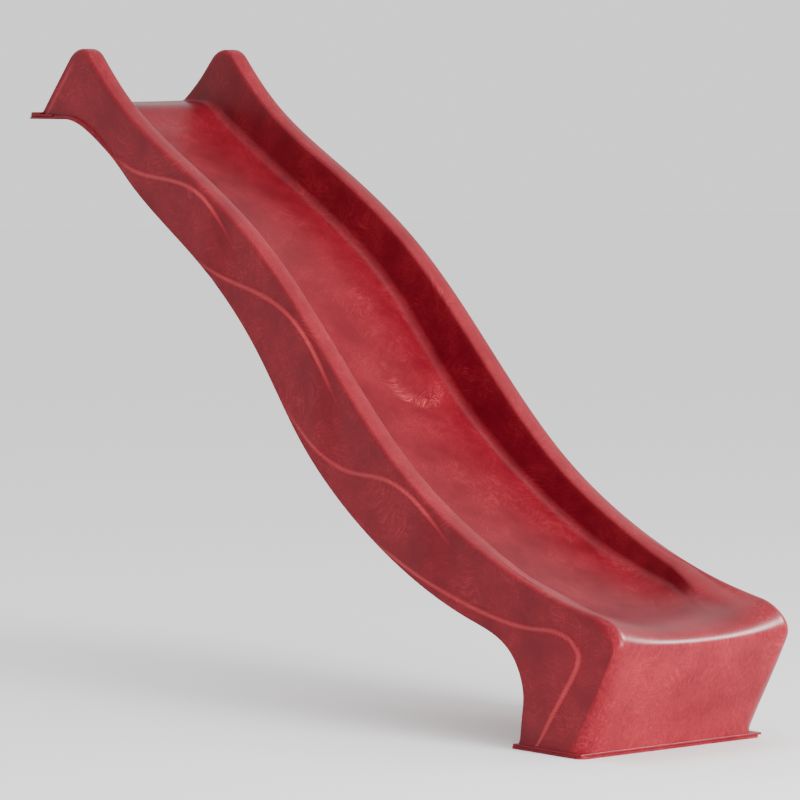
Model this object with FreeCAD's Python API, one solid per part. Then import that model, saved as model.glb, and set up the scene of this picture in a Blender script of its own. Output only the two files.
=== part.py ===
"""Wave slide: a twin-skin moulded chute that hooks onto a play-tower deck.

+X runs down the slide, Y across it, +Z up. The origin is the centre of the foot's base, on the ground.
Millimetres.
"""
import FreeCAD
import Part
import math
import os

V = FreeCAD.Vector

# Overall sizes
DECK_HEIGHT = 1450.0        # ground to the underside of the hooked lip
RUN = 2280.0                # back of the lip to the foremost point of the foot
LIP_WIDTH = 520.0           # over the side walls at the lip
FOOT_WIDTH = 564.0          # over the side walls at the front of the foot
RIM_WIDTH = 54.0            # each rim, from the side wall to the inner wall
SKIN = 4.5                  # wall of both moulded skins

# Entry end
LIP_LENGTH = 34.0           # flange behind the fins, which takes the deck screws
LIP_THICK = 18.0
ENTRY_STEP = 30.0           # entry deck above the lip
ENTRY_LENGTH = 92.0         # flat of the entry deck, from the lip to the brow
FIN_RISE = 184.0            # top of the fins above the deck
FIN_APEX_RADIUS = 58.0
FIN_REAR_ANGLE = 48.7
FIN_FRONT_ANGLE = 47.0

# Foot
FOOT_RAKE = 116.0           # how far the front face leans back from its top to the ground
FRONT_ROLL = 80.0           # radius where the rims roll over into the front face
EXIT_SLOPE = 3.0            # degrees, where the bed leaves the foot
BEAD_PROUD = 11.0           # welded rim of the two skins, around the base and the lip
BEAD_HEIGHT = 6.0           # each of its two layers

# Rounding
RIM_ROUND = 11.0
BED_FILLET = 26.0
BROW_RADIUS = 110.0         # where the entry deck rolls over into the bed
BROW_ANGLE = 34.0           # degrees turned by the brow

# Deck fixings
SCREW_SPACING = 95.0
SCREW_DIAMETER = 8.0        # plain shank, through the lip
SCREW_THREAD_DIAMETER = 7.0
SCREW_THREAD_START = 2.0    # below the lip
SCREW_LENGTH = 45.0         # from under the head, into a 28 mm board
SCREW_HEAD_ACROSS = 13.0
SCREW_HEAD_HEIGHT = 5.5
SCREW_HOLE_CLEARANCE = 0.5  # radial
WASHER_DIAMETER = 24.0
WASHER_THICK = 1.6
WASHER_BORE_CLEARANCE = 0.2
CAP_WALL = 1.6
CAP_ROUND = 2.4
CAP_CLEARANCE = 0.4         # between the screw head and its cover cap
SCREW_SIDES = {"left": 1, "middle": 0, "right": -1}

ARC_HANDLE = 0.55           # handle length, as a share of the radius, that draws a quarter round

# The wave on a 2280 x 1450 side elevation, measured from the back of the lip and from the ground.
# Each line has one knot where it steepens, flattens or changes its bend, and a smooth curve through them.
DRAWN_RUN = 2280.0
DRAWN_HEIGHT = 1450.0
RIM_WAVE = [(370, 1500), (640, 1335), (950, 1140), (1250, 860), (1500, 632), (1800, 457)]
RIM_END = (2195, 336)
RIM_END_SLOPE = 9.0
BED_WAVE = [(380, 1350), (620, 1216), (900, 1028), (1170, 752), (1370, 597), (1620, 450), (1890, 345)]
BED_END = (2130, 301)
UNDER_START = (150, 1450)
UNDER_WAVE = [(285, 1398), (490, 1248), (715, 1101), (960, 886), (1135, 672), (1290, 533), (1495, 403),
              (1780, 287)]
HEEL = [(1925, 222), (1970, 115), (1949, 0)]


def base_middle():
    """Distance from the back of the lip to the centre of the foot's base."""
    heel = HEEL[-1][0] * RUN / DRAWN_RUN
    return (heel + RUN - FOOT_RAKE) / 2


def at(point):
    """A drawn point, stretched to the slide's run and height, in the slide's own frame."""
    x, z = point
    return V(x * RUN / DRAWN_RUN - base_middle(), 0, z * DECK_HEIGHT / DRAWN_HEIGHT)


def from_lip(x, above_deck):
    """A point by its distance from the back of the lip and its height above the deck."""
    return V(at((0, 0)).x + x, 0, DECK_HEIGHT + above_deck)


def slope(angle):
    """A unit direction that falls towards +X at this many degrees."""
    return V(math.cos(math.radians(angle)), 0, -math.sin(math.radians(angle)))


def spline(points, start, end):
    """A smooth curve through the points that leaves along start and arrives along end."""
    lengths = [0.0]
    for a, b in zip(points, points[1:]):
        lengths.append(lengths[-1] + (b - a).Length)
    start.normalize()
    end.normalize()
    curve = Part.BSplineCurve()
    curve.interpolate(Points=points, Parameters=lengths, InitialTangent=start, FinalTangent=end,
                      Scale=False)
    return curve.toShape()


def line(a, b):
    return Part.makeLine(a, b)


def front_points():
    """Top of the front face, its foot on the ground, and its direction downwards."""
    top = V(at((DRAWN_RUN, 0)).x, 0, at(RIM_END).z - FRONT_ROLL)
    foot = V(top.x - FOOT_RAKE, 0, 0)
    down = (foot - top).normalize()
    return top, foot, down


def fin_edges():
    """Back slope, rounded apex and the start of the rim."""
    apex = from_lip(0, FIN_RISE)
    base = from_lip(LIP_LENGTH, LIP_THICK)
    back = V(math.cos(math.radians(FIN_REAR_ANGLE)), 0, math.sin(math.radians(FIN_REAR_ANGLE)))
    centre_z = apex.z - FIN_APEX_RADIUS
    rise = centre_z + FIN_APEX_RADIUS * back.x - base.z
    touch = base + back * (rise / back.z)
    centre = touch + V(FIN_APEX_RADIUS * back.z, 0, -FIN_APEX_RADIUS * back.x)
    front = slope(FIN_FRONT_ANGLE)
    leave = centre + V(-front.z, 0, front.x) * FIN_APEX_RADIUS
    top = centre + V(0, 0, FIN_APEX_RADIUS)
    return [line(base, touch), Part.Arc(touch, top, leave).toShape()], leave, front


def rim_edge():
    """The rim from the fin to the exit."""
    _, start, direction = fin_edges()
    return spline([start] + [at(p) for p in RIM_WAVE] + [at(RIM_END)], direction,
                  slope(RIM_END_SLOPE))


def front_roll(inset):
    """The curve that rolls a rim over into the front face."""
    top, _, down = front_points()
    inward = V(down.z, 0, -down.x) * inset
    leave = slope(RIM_END_SLOPE)
    start = at(RIM_END) - V(-leave.z, 0, leave.x) * inset
    end = top + inward
    hold = FRONT_ROLL * ARC_HANDLE
    roll = Part.BezierCurve()
    roll.setPoles([start, start + leave * hold, end - down * hold, end])
    return roll.toShape()


def under_edge():
    """The underside and the heel, from the deck seat to the ground."""
    start = at(UNDER_START)
    points = [start] + [at(p) for p in UNDER_WAVE] + [at(p) for p in HEEL]
    return spline(points, slope(0), V(0, 0, -1))


def side_outline():
    """The side elevation of the whole moulding, as a face."""
    lip_low = from_lip(0, 0)
    lip_high = from_lip(0, LIP_THICK)
    fin, _, _ = fin_edges()
    front_top, front_foot, _ = front_points()
    under = under_edge()
    under_start = under.valueAt(under.FirstParameter)
    under_end = under.valueAt(under.LastParameter)
    edges = [line(lip_low, lip_high), line(lip_high, from_lip(LIP_LENGTH, LIP_THICK))] + fin
    edges += [rim_edge(), front_roll(0), line(front_top, front_foot), line(front_foot, under_end)]
    edges += [under, line(under_start, lip_low)]
    return side_face(edges)


def side_face(edges):
    """A side-elevation face from its edges."""
    return Part.Face(Part.Wire(Part.__sortEdges__(edges)))


def polyline(points):
    return [line(a, b) for a, b in zip(points, points[1:])]


def drawn_in(edge, distance, samples=60):
    """A curve that runs beside an edge, towards the inside of the moulding.

    A positive distance is to the right of the direction of travel, looking along +Y.
    """
    first, last = edge.FirstParameter, edge.LastParameter
    points = []
    for step in range(samples + 1):
        u = first + (last - first) * step / samples
        along = edge.tangentAt(u)
        points.append(edge.valueAt(u) + V(along.z, 0, -along.x) * distance)
    return spline(points, edge.tangentAt(first), edge.tangentAt(last))


def half_width(x):
    """Half the width over the side walls at a place along the slide."""
    back, front = from_lip(0, 0).x, front_points()[0].x
    return (LIP_WIDTH + (FOOT_WIDTH - LIP_WIDTH) * (x - back) / (front - back)) / 2


def plan_prism(inset):
    """An upright prism that follows the tapering side walls, drawn in by inset on each side."""
    beyond = LIP_WIDTH
    ends = [from_lip(-beyond, 0).x, front_points()[0].x + beyond]
    right = [V(x, -half_width(x) + inset, -beyond) for x in ends]
    left = [V(x, half_width(x) - inset, -beyond) for x in reversed(ends)]
    base = Part.Face(Part.makePolygon(right + left + right[:1]))
    return base.extrude(V(0, 0, DECK_HEIGHT + FIN_RISE + 2 * beyond))


def across(face, inset):
    """Extrude a side-elevation face over the slide's width, drawn in by inset on each side."""
    reach = LIP_WIDTH + FOOT_WIDTH
    moved = face.copy()
    moved.translate(V(0, -reach, 0))
    return moved.extrude(V(0, 2 * reach, 0)).common(plan_prism(inset)).Solids[0]


def edge_middle(edge):
    return edge.valueAt((edge.FirstParameter + edge.LastParameter) / 2)


def lies_along_wall(edge, inset):
    """Whether an edge lies in one of the two upright planes at this inset."""
    middle = edge_middle(edge)
    ends = [vertex.Point for vertex in edge.Vertexes] + [middle]
    same_side = min(p.y for p in ends) * max(p.y for p in ends) > 0
    return same_side and all(abs(abs(p.y) - half_width(p.x) + inset) < 0.05 for p in ends)


def is_rim_edge(edge):
    """Whether an edge runs along a fin, a rim or a front corner on the outer wall."""
    box = edge.BoundBox
    middle = edge_middle(edge)
    fin = middle.z > DECK_HEIGHT + LIP_THICK + ENTRY_STEP
    rim = box.XLength > RUN / 2 and middle.z > edge_middle(under_edge()).z + RIM_WIDTH
    front = middle.x > at(RIM_END).x and middle.z > 1
    return lies_along_wall(edge, 0) and (fin or rim or front)


def outer_block():
    """The slide's outer form as one block, with rounded rims and front corners."""
    block = across(side_outline(), 0)
    return block.makeFillet(RIM_ROUND, [e for e in block.Edges if is_rim_edge(e)])


def is_bed_corner(edge):
    """Whether an edge is where the bed or the entry deck meets an inner wall."""
    middle = edge_middle(edge)
    low = middle.z < DECK_HEIGHT + LIP_THICK + ENTRY_STEP + 0.1
    inside = middle.x > from_lip(LIP_LENGTH, 0).x + 1
    return lies_along_wall(edge, RIM_WIDTH) and edge.BoundBox.XLength > 1 and low and inside


def bed_edges():
    """The end of the entry deck, its brow and the bed as far as the exit."""
    flat_end = from_lip(LIP_LENGTH + ENTRY_LENGTH, LIP_THICK + ENTRY_STEP)
    centre = flat_end - V(0, 0, BROW_RADIUS)

    def around(angle):
        turned = slope(angle)
        return centre + V(-turned.z, 0, turned.x) * BROW_RADIUS

    brow = Part.Arc(flat_end, around(BROW_ANGLE / 2), around(BROW_ANGLE)).toShape()
    points = [around(BROW_ANGLE)] + [at(p) for p in BED_WAVE] + [at(BED_END)]
    return flat_end, [brow, spline(points, slope(BROW_ANGLE), slope(EXIT_SLOPE))]


def channel(outset):
    """The open space above the bed and the entry deck, between the inner walls."""
    flat_end, bed = bed_edges()
    bed_end = at(BED_END)
    back_low = from_lip(-LIP_LENGTH, LIP_THICK)
    step_low = from_lip(LIP_LENGTH, LIP_THICK)
    step_high = from_lip(LIP_LENGTH, LIP_THICK + ENTRY_STEP)
    exit_end = bed_end + slope(EXIT_SLOPE) * 3 * FRONT_ROLL
    ceiling = DECK_HEIGHT + FIN_RISE + FRONT_ROLL
    top_front = V(exit_end.x, 0, ceiling)
    top_back = V(back_low.x, 0, ceiling)
    edges = polyline([back_low, step_low, step_high, flat_end]) + bed
    edges += polyline([bed_end, exit_end, top_front, top_back, back_low])
    tool = across(side_face(edges), RIM_WIDTH - outset)
    if outset == 0:
        tool = tool.makeFillet(BED_FILLET, [e for e in tool.Edges if is_bed_corner(e)])
    tool.translate(V(-outset / 2, 0, -outset))
    return tool


def cavity():
    """The space inside the skins, open towards the underside."""
    back, apex = fin_edges()[0]
    direction = back.tangentAt(back.FirstParameter)
    inward = V(direction.z, 0, -direction.x) * SKIN
    touch = back.valueAt(back.LastParameter) + inward
    corner_x = from_lip(LIP_LENGTH + 3 * SKIN, 0).x
    corner = touch - direction * ((touch.x - corner_x) / direction.x)
    rim = drawn_in(rim_edge(), SKIN)
    crown = edge_middle(apex) + V(0, 0, -SKIN)
    inner_apex = Part.Arc(touch, crown, rim.valueAt(rim.FirstParameter)).toShape()
    roll = front_roll(SKIN)
    _, front_foot, down = front_points()
    low = front_foot + V(down.z, 0, -down.x) * SKIN + down * FRONT_ROLL
    back_low = V(corner_x, 0, low.z)
    edges = polyline([back_low, corner, touch]) + [inner_apex, rim, roll]
    edges += polyline([roll.valueAt(roll.LastParameter), low, back_low])
    return across(side_face(edges), SKIN).cut(channel(SKIN))


def plate(x_back, x_front, half, z_low, front_round):
    """One layer of the welded rim, with round front corners."""
    sheet = Part.makeBox(x_front - x_back, 2 * half, BEAD_HEIGHT, V(x_back, -half, z_low))
    uprights = [e for e in sheet.Edges if e.BoundBox.ZLength > BEAD_HEIGHT / 2]
    front = [e for e in uprights if e.BoundBox.XMin > x_front - 1]
    return sheet.makeFillet(front_round, front)


def lip_layer(z_low):
    """One layer of the welded rim under the lip and the entry deck."""
    front = at(UNDER_START).x
    return plate(from_lip(0, 0).x, front, half_width(front) + BEAD_PROUD, z_low, BEAD_PROUD)


def base_layer(z_low):
    """One layer of the welded rim around the foot."""
    front = front_points()[1].x
    return plate(at(HEEL[-1]).x - BEAD_PROUD, front + BEAD_PROUD, half_width(front) + BEAD_PROUD, z_low,
                 BEAD_PROUD + RIM_ROUND)


def on_screws(radius, z_low, height):
    """A cylinder on each deck screw's axis, by the screw's name."""
    x = from_lip(LIP_LENGTH / 2, 0).x
    return {name: Part.makeCylinder(radius, height, V(x, side * SCREW_SPACING, z_low))
            for name, side in SCREW_SIDES.items()}


def drill_lip(shell):
    """Cut the three deck screw holes."""
    radius = SCREW_DIAMETER / 2 + SCREW_HOLE_CLEARANCE
    for hole in on_screws(radius, DECK_HEIGHT - 1, LIP_THICK + 2).values():
        shell = shell.cut(hole)
    return shell


def upper_shell():
    """Fins, rims, side walls, bed, entry deck and front face, moulded as one skin."""
    heel_x = at(HEEL[-1]).x + SKIN
    inside = half_width(heel_x) - SKIN
    opening = Part.makeBox(front_points()[1].x - SKIN - heel_x, 2 * inside, BEAD_HEIGHT,
                           V(heel_x, -inside, BEAD_HEIGHT))
    rim = base_layer(BEAD_HEIGHT).cut(opening)
    shell = outer_block().cut(channel(0)).cut(cavity())
    shell = shell.fuse(lip_layer(DECK_HEIGHT + BEAD_HEIGHT)).fuse(rim)
    shell = shell.cut(base_layer(0)).cut(lip_layer(DECK_HEIGHT)).cut(under_panel())
    return drill_lip(shell)


def under_panel():
    """The underside and the heel, as one curved sheet between the side walls."""
    outer = under_edge()
    inner = drawn_in(outer, -SKIN)
    ends = [line(outer.valueAt(outer.FirstParameter), inner.valueAt(inner.FirstParameter)),
            line(outer.valueAt(outer.LastParameter), inner.valueAt(inner.LastParameter))]
    return across(side_face([outer, inner] + ends), SKIN)


def lower_shell():
    """Lip underlay, underside, heel and base plate, welded under the upper skin."""
    return drill_lip(under_panel().fuse(lip_layer(DECK_HEIGHT)).fuse(base_layer(0)))


def deck_screws():
    """Pan-head wood screws that hold the lip to the deck."""
    seat = DECK_HEIGHT + LIP_THICK + WASHER_THICK
    thread_top = DECK_HEIGHT - SCREW_THREAD_START
    tip = seat - SCREW_LENGTH
    threads = on_screws(SCREW_THREAD_DIAMETER / 2, tip, thread_top - tip)
    shanks = on_screws(SCREW_DIAMETER / 2, thread_top, seat - thread_top)
    heads = on_screws(SCREW_HEAD_ACROSS / 2, seat, SCREW_HEAD_HEIGHT)
    return {f"deck_screw_{name}": threads[name].fuse(shanks[name]).fuse(heads[name]) for name in shanks}


def deck_washers():
    """Wide washers that spread each screw's load on the lip."""
    seat = DECK_HEIGHT + LIP_THICK
    discs = on_screws(WASHER_DIAMETER / 2, seat, WASHER_THICK)
    bores = on_screws(SCREW_DIAMETER / 2 + WASHER_BORE_CLEARANCE, seat, WASHER_THICK)
    return {f"deck_washer_{name}": discs[name].cut(bores[name]) for name in discs}


def screw_caps():
    """Domed safety caps that snap over the screw heads and rest on the washers."""
    seat = DECK_HEIGHT + LIP_THICK + WASHER_THICK
    hollow_radius = SCREW_HEAD_ACROSS / 2 + CAP_CLEARANCE
    hollow_height = SCREW_HEAD_HEIGHT + CAP_CLEARANCE
    outer = on_screws(hollow_radius + CAP_WALL, seat, hollow_height + CAP_WALL)
    hollow = on_screws(hollow_radius, seat, hollow_height)
    caps = {}
    for name, body in outer.items():
        crown = [e for e in body.Edges if e.BoundBox.ZMin > seat + CAP_WALL]
        caps[f"deck_screw_cap_{name}"] = body.makeFillet(CAP_ROUND, crown).cut(hollow[name])
    return caps


def main():
    parts = {"upper_shell": upper_shell(), "lower_shell": lower_shell()}
    parts.update(deck_screws())
    parts.update(deck_washers())
    parts.update(screw_caps())
    os.makedirs("parts", exist_ok=True)
    for name, shape in parts.items():
        solid = shape.Solids[0] if len(shape.Solids) == 1 else shape
        volume = round(shape.Volume / 1000, 1)
        print(name, "solids", len(shape.Solids), "valid", shape.isValid(), "cm3", volume)
        solid.exportStep(f"parts/{name}.step")


main()
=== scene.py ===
"""Looks of a red moulded wave slide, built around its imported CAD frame.

The moulding is lofted from the same design lines as the CAD: the rims, the bed and the underside.
Everything is in metres, in the slide's frame: +X down the slide, +Z up, origin under the foot.
"""

import logging
import math
from dataclasses import dataclass, field
from enum import Enum

import bmesh
import bpy
import numpy as np
from mathutils import Matrix, Vector


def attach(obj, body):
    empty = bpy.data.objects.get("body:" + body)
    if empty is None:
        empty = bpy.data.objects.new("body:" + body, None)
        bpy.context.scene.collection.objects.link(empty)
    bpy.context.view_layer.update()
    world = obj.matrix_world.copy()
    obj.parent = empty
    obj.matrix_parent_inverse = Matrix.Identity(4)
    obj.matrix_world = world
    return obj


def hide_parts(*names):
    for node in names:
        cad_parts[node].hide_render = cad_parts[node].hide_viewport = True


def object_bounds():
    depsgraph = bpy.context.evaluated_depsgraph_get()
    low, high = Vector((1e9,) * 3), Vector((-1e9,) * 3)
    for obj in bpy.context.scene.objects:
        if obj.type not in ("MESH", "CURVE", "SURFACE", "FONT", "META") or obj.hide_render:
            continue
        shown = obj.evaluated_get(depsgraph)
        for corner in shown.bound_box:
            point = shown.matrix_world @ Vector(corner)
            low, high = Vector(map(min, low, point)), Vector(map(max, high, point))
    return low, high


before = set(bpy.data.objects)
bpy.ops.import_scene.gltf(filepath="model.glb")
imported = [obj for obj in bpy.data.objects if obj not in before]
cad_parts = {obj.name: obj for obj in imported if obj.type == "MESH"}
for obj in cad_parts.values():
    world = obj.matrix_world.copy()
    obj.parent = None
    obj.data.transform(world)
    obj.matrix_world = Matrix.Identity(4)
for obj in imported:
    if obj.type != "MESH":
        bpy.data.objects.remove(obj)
CAD_BOX = [list(corner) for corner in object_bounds()]

log = logging.getLogger("wave_slide")
MM = 0.001
TINY = 1e-6
INNER_WEAR = 0.35
Point = tuple[float, float]
Span = tuple[float, float]
Place = tuple[float, float, float]


def mm(value: float) -> float:
    """A length in millimetres as metres."""
    return value * MM


def in_frame(x: float, y: float, z: float) -> Place:
    """A place in millimetres from the back of the lip, the middle and the ground, in the slide's frame."""
    return mm(x) + CAD_BOX[0][0], mm(y), mm(z) + CAD_BOX[0][2]


def smooth(value: np.ndarray, low: float, high: float) -> np.ndarray:
    """A soft step from 0 at low to 1 at high."""
    share = np.clip((value - low) / (high - low), 0.0, 1.0)
    return share * share * (3.0 - 2.0 * share)


def heading(angle: float) -> np.ndarray:
    """The (x, z) direction that falls towards +X at this many degrees."""
    return np.array([math.cos(math.radians(angle)), -math.sin(math.radians(angle))])


def through(points: list[Point], start: float, end: float, steps: int = 40) -> np.ndarray:
    """A smooth cubic curve through a few knots, paced by the straight lengths between them.

    Args:
        points: Knots in order.
        start: Fall in degrees where the curve leaves the first knot.
        end: Fall in degrees where it reaches the last knot.
        steps: Samples on each stretch between two knots.

    Returns:
        An array of (x, z) rows.
    """
    p = np.array(points, float)
    gap = np.linalg.norm(np.diff(p, axis=0), axis=1)
    system, wanted = np.eye(len(p)), np.zeros((len(p), 2))
    wanted[0], wanted[-1] = heading(start), heading(end)
    for k in range(1, len(p) - 1):
        before, after = gap[k - 1], gap[k]
        system[k, k - 1:k + 2] = (after, 2 * (before + after), before)
        wanted[k] = 3 * (after * (p[k] - p[k - 1]) / before + before * (p[k + 1] - p[k]) / after)
    along = np.linalg.solve(system, wanted)
    t = np.linspace(0, 1, steps)[:, None]
    rows = []
    for a, b, at_a, at_b, h in zip(p, p[1:], along, along[1:], gap):
        rows.append((2 * t ** 3 - 3 * t * t + 1) * a + (t ** 3 - 2 * t * t + t) * h * at_a
                    + (3 * t * t - 2 * t ** 3) * b + (t ** 3 - t * t) * h * at_b)
    return np.concatenate(rows)


def bezier(poles: list[Point], steps: int = 40) -> np.ndarray:
    """Points on a cubic Bezier curve with four poles.

    Args:
        poles: The two ends, with the two handles between them.
        steps: How many points.

    Returns:
        An array of (x, z) rows.
    """
    t = np.linspace(0, 1, steps)[:, None]
    a, b, c, d = (np.array(pole, float) for pole in poles)
    return (1 - t) ** 3 * a + 3 * (1 - t) ** 2 * t * b + 3 * (1 - t) * t * t * c + t ** 3 * d


def arc(centre: Point, radius: float, start: float, end: float, steps: int = 24) -> np.ndarray:
    """Points on an arc in the side elevation, by its angles in degrees from +X."""
    angles = np.radians(np.linspace(start, end, steps))
    return np.stack([centre[0] + radius * np.cos(angles), centre[1] + radius * np.sin(angles)], 1)


def walked_along(rows: np.ndarray) -> np.ndarray:
    """The length from the first of some rows to each of them."""
    return np.concatenate([[0], np.cumsum(np.linalg.norm(np.diff(rows, axis=0), axis=1))])


class Path:
    """A line in the side elevation that is walked by its length."""

    def __init__(self, *stretches: np.ndarray) -> None:
        """Join stretches end to end and measure them.

        Args:
            stretches: Rows of (x, z), in the order they are walked.
        """
        rows = np.concatenate([np.atleast_2d(s) for s in stretches])
        keep = np.concatenate([[True], np.linalg.norm(np.diff(rows, axis=0), axis=1) > TINY])
        self.rows = rows[keep]
        self.marks = walked_along(self.rows)

    def length_at(self, point: Point) -> float:
        """The length from the start to the place nearest to a point."""
        return float(self.marks[np.argmin(np.linalg.norm(self.rows - np.array(point), axis=1))])

    def walk(self, lengths: np.ndarray) -> np.ndarray:
        """The (x, z) rows at these lengths from the start."""
        return np.stack([np.interp(lengths, self.marks, self.rows[:, k]) for k in (0, 1)], 1)


@dataclass
class Elevation:
    """The slide's side elevation in millimetres from the back of the lip and the ground.

    The two rolls are the handles of the curves that turn down into the front face, from their ends.
    """

    deck: float = 1450.0
    lip_length: float = 34.0
    lip_thick: float = 18.0
    entry_step: float = 30.0
    entry_round: float = 13.0
    riser_lean: float = 2.0
    edge_height: float = 10.0
    edge_handle: float = 7.0
    entry_length: float = 92.0
    brow_radius: float = 110.0
    brow_angle: float = 34.0
    entry_fall: float = 5.0
    fin_top: float = 1634.0
    fin_radius: float = 58.0
    fin_rear_angle: float = 48.7
    fin_front_angle: float = 47.0
    front_x: float = 2280.0
    front_foot_x: float = 2164.0
    front_top_z: float = 256.0
    rim_end_fall: float = 9.0
    exit_fall: float = 3.0
    rim_roll: tuple[Point, Point] = ((43, -7), (18, 40))
    bed_roll: tuple[Point, Point] = ((78, -4), (14, 26))
    bed_front_row: int = 2
    rim: tuple[Point, ...] = ((370, 1500), (640, 1335), (950, 1140), (1250, 860), (1500, 632), (1800, 457),
                              (2195, 336))
    bed: tuple[Point, ...] = ((380, 1350), (620, 1216), (900, 1028), (1170, 752), (1370, 597), (1620, 450),
                              (1890, 345), (2130, 301))
    under: tuple[Point, ...] = ((150, 1450), (285, 1398), (490, 1248), (715, 1101), (960, 886), (1135, 672),
                                (1290, 533), (1495, 403), (1780, 287), (1925, 222), (1970, 115), (1949, 0))

    def fin(self) -> np.ndarray:
        """The fin's back slope and rounded top.

        Returns:
            An array of (x, z) rows from the lip to the top of the rim.
        """
        rear, front, r = self.fin_rear_angle, self.fin_front_angle, self.fin_radius
        centre_z = self.fin_top - r
        low = (self.lip_length, self.deck + self.lip_thick)
        touch_z = centre_z + r * math.cos(math.radians(rear))
        touch_x = low[0] + (touch_z - low[1]) / math.tan(math.radians(rear))
        centre = (touch_x + r * math.sin(math.radians(rear)), centre_z)
        slope = np.linspace(low, (touch_x, touch_z), 40)
        return np.concatenate([slope, arc(centre, r, 90 + rear, 90 - front)])

    def front(self) -> np.ndarray:
        """The front face from its top to the ground."""
        return np.linspace((self.front_x, self.front_top_z), (self.front_foot_x, 0), 40)

    def rim_path(self) -> Path:
        """Fin, rim, roll and front face.

        Returns:
            The path along the top of the side walls.
        """
        fin = self.fin()
        rim = through([tuple(fin[-1])] + list(self.rim), self.fin_front_angle, self.rim_end_fall)
        roll = self.roll(self.rim[-1], (self.front_x, self.front_top_z), self.rim_roll)
        return Path(fin, rim, roll, self.front())

    def roll(self, start: Point, end: Point, handles: tuple[Point, Point]) -> np.ndarray:
        """Turn a line down into the front face.

        Args:
            start: Where it leaves the line.
            end: Where it meets the front face.
            handles: The curve's handles, from start and from the top of the front face.

        Returns:
            An array of (x, z) rows.
        """
        first, last = handles
        return bezier([start, (start[0] + first[0], start[1] + first[1]),
                       (self.front_x + last[0], self.front_top_z + last[1]), end])

    def entry(self) -> np.ndarray:
        """The step up from the lip, and the entry deck's rounded back edge.

        Returns:
            An array of (x, z) rows.
        """
        x, low = self.lip_length, self.deck + self.lip_thick
        top = low + self.entry_step
        start, end = (x + self.riser_lean, top - self.edge_height), (x + self.entry_round, top)
        riser = np.linspace((x, low), start, 8)
        handles = [(start[0], start[1] + self.edge_handle), (end[0] - self.edge_handle, top)]
        edge = bezier([start, *handles, end], 8)
        return np.concatenate([riser, edge])

    def brow(self) -> np.ndarray:
        """The arc where the entry deck turns down into the bed.

        Returns:
            An array of (x, z) rows.
        """
        fall = math.radians(self.entry_fall)
        top = self.deck + self.lip_thick + self.entry_step
        crest = top - (self.entry_length - self.entry_round) * math.tan(fall)
        centre = (self.lip_length + self.entry_length - self.brow_radius * math.sin(fall),
                  crest - self.brow_radius * math.cos(fall))
        return arc(centre, self.brow_radius, 90 - self.entry_fall, 90 - self.brow_angle)

    def bed_path(self) -> Path:
        """Entry step, entry deck, brow, bed, exit roll and front face.

        Returns:
            The path along the middle of the slide.
        """
        brow, front = self.brow(), self.front()[self.bed_front_row:]
        bed = through([tuple(brow[-1])] + list(self.bed), self.brow_angle, self.exit_fall)
        roll = self.roll(self.bed[-1], tuple(front[0]), self.bed_roll)
        return Path(self.entry(), brow, bed, roll, front)

    def under_path(self) -> Path:
        """Deck seat, underside, heel and base.

        Returns:
            The path along the bottom of the side walls.
        """
        seat = np.linspace((self.lip_length, self.deck), self.under[0], 20)
        base = np.linspace(self.under[-1], (self.front_foot_x, 0), 30)
        return Path(seat, through(list(self.under), 0, 90), base)


class Zone(Enum):
    """Attribute names that tell the finish where it is on the moulding."""

    RIM = "rim_wear"
    # The crease zone holds a painted highlight along the crease bevels and a pale scuff line along the fin's
    # back.
    CREASE = "crease_highlight_and_fin_scuff"
    FRONT = "front_wear"


@dataclass
class Crease:
    """A raised panel on the side wall, in millimetres.

    Its edge runs through points, and close leads back below the wall. It fades in over lead, from its first
    point, and fades out between two places along the slide, which are beyond its end if none are given.
    """

    points: tuple[Point, ...]
    close: tuple[Point, ...]
    fade_from: float = 9000.0
    fade_to: float = 9100.0
    lead: Span = (-15.0, 110.0)
    proud: float = 8.0
    width: float = 13.0

    def relief(self, xz: np.ndarray) -> tuple[np.ndarray, np.ndarray]:
        """How far the panel stands out at each (x, z), in millimetres, and how near its edge that is.

        Args:
            xz: Places on the side wall, one per row.

        Returns:
            The heights, and shares that are 1 on the panel's edge and 0 away from it.
        """
        first, last = (np.array(self.points[k + 1]) - np.array(self.points[k]) for k in (0, -2))
        falls = [math.degrees(math.atan2(-d[1], d[0])) for d in (first, last)]
        edge = through(list(self.points), falls[0], falls[1], 16)
        signed = self.inside(xz, np.concatenate([edge, np.array(self.close, float)]))
        distance = self.distance(xz, edge)
        reach = np.where(signed, distance, -distance)
        start, x = self.points[0][0], xz[:, 0]
        fade = smooth(x, start + self.lead[0], start + self.lead[1])
        fade = fade * (1.0 - smooth(x, self.fade_from, self.fade_to))
        step = smooth(reach, -self.width / 2, self.width / 2)
        return self.proud * step * fade, 4 * step * (1 - step) * fade

    @staticmethod
    def distance(xz: np.ndarray, edge: np.ndarray) -> np.ndarray:
        """Distance from each point to the nearest place on the edge.

        Args:
            xz: Points, one per row.
            edge: The rows of an open line.

        Returns:
            One distance per point.
        """
        best = np.full(len(xz), 1e9)
        for a, b in zip(edge, edge[1:]):
            ab = b - a
            t = np.clip(((xz - a) @ ab) / max(float(ab @ ab), TINY * TINY), 0, 1)
            best = np.minimum(best, np.linalg.norm(xz - (a + t[:, None] * ab), axis=1))
        return best

    @staticmethod
    def inside(xz: np.ndarray, loop: np.ndarray) -> np.ndarray:
        """Whether each point lies inside a closed loop.

        Args:
            xz: Points, one per row.
            loop: The loop's corners in order.

        Returns:
            One truth value per point.
        """
        hit = np.zeros(len(xz), bool)
        x, z = xz[:, 0], xz[:, 1]
        for (x1, z1), (x2, z2) in zip(loop, np.roll(loop, -1, axis=0)):
            crosses = (z1 > z) != (z2 > z)
            if z2 != z1:
                hit ^= crosses & (x < (x2 - x1) * (z - z1) / (z2 - z1) + x1)
        return hit


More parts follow.
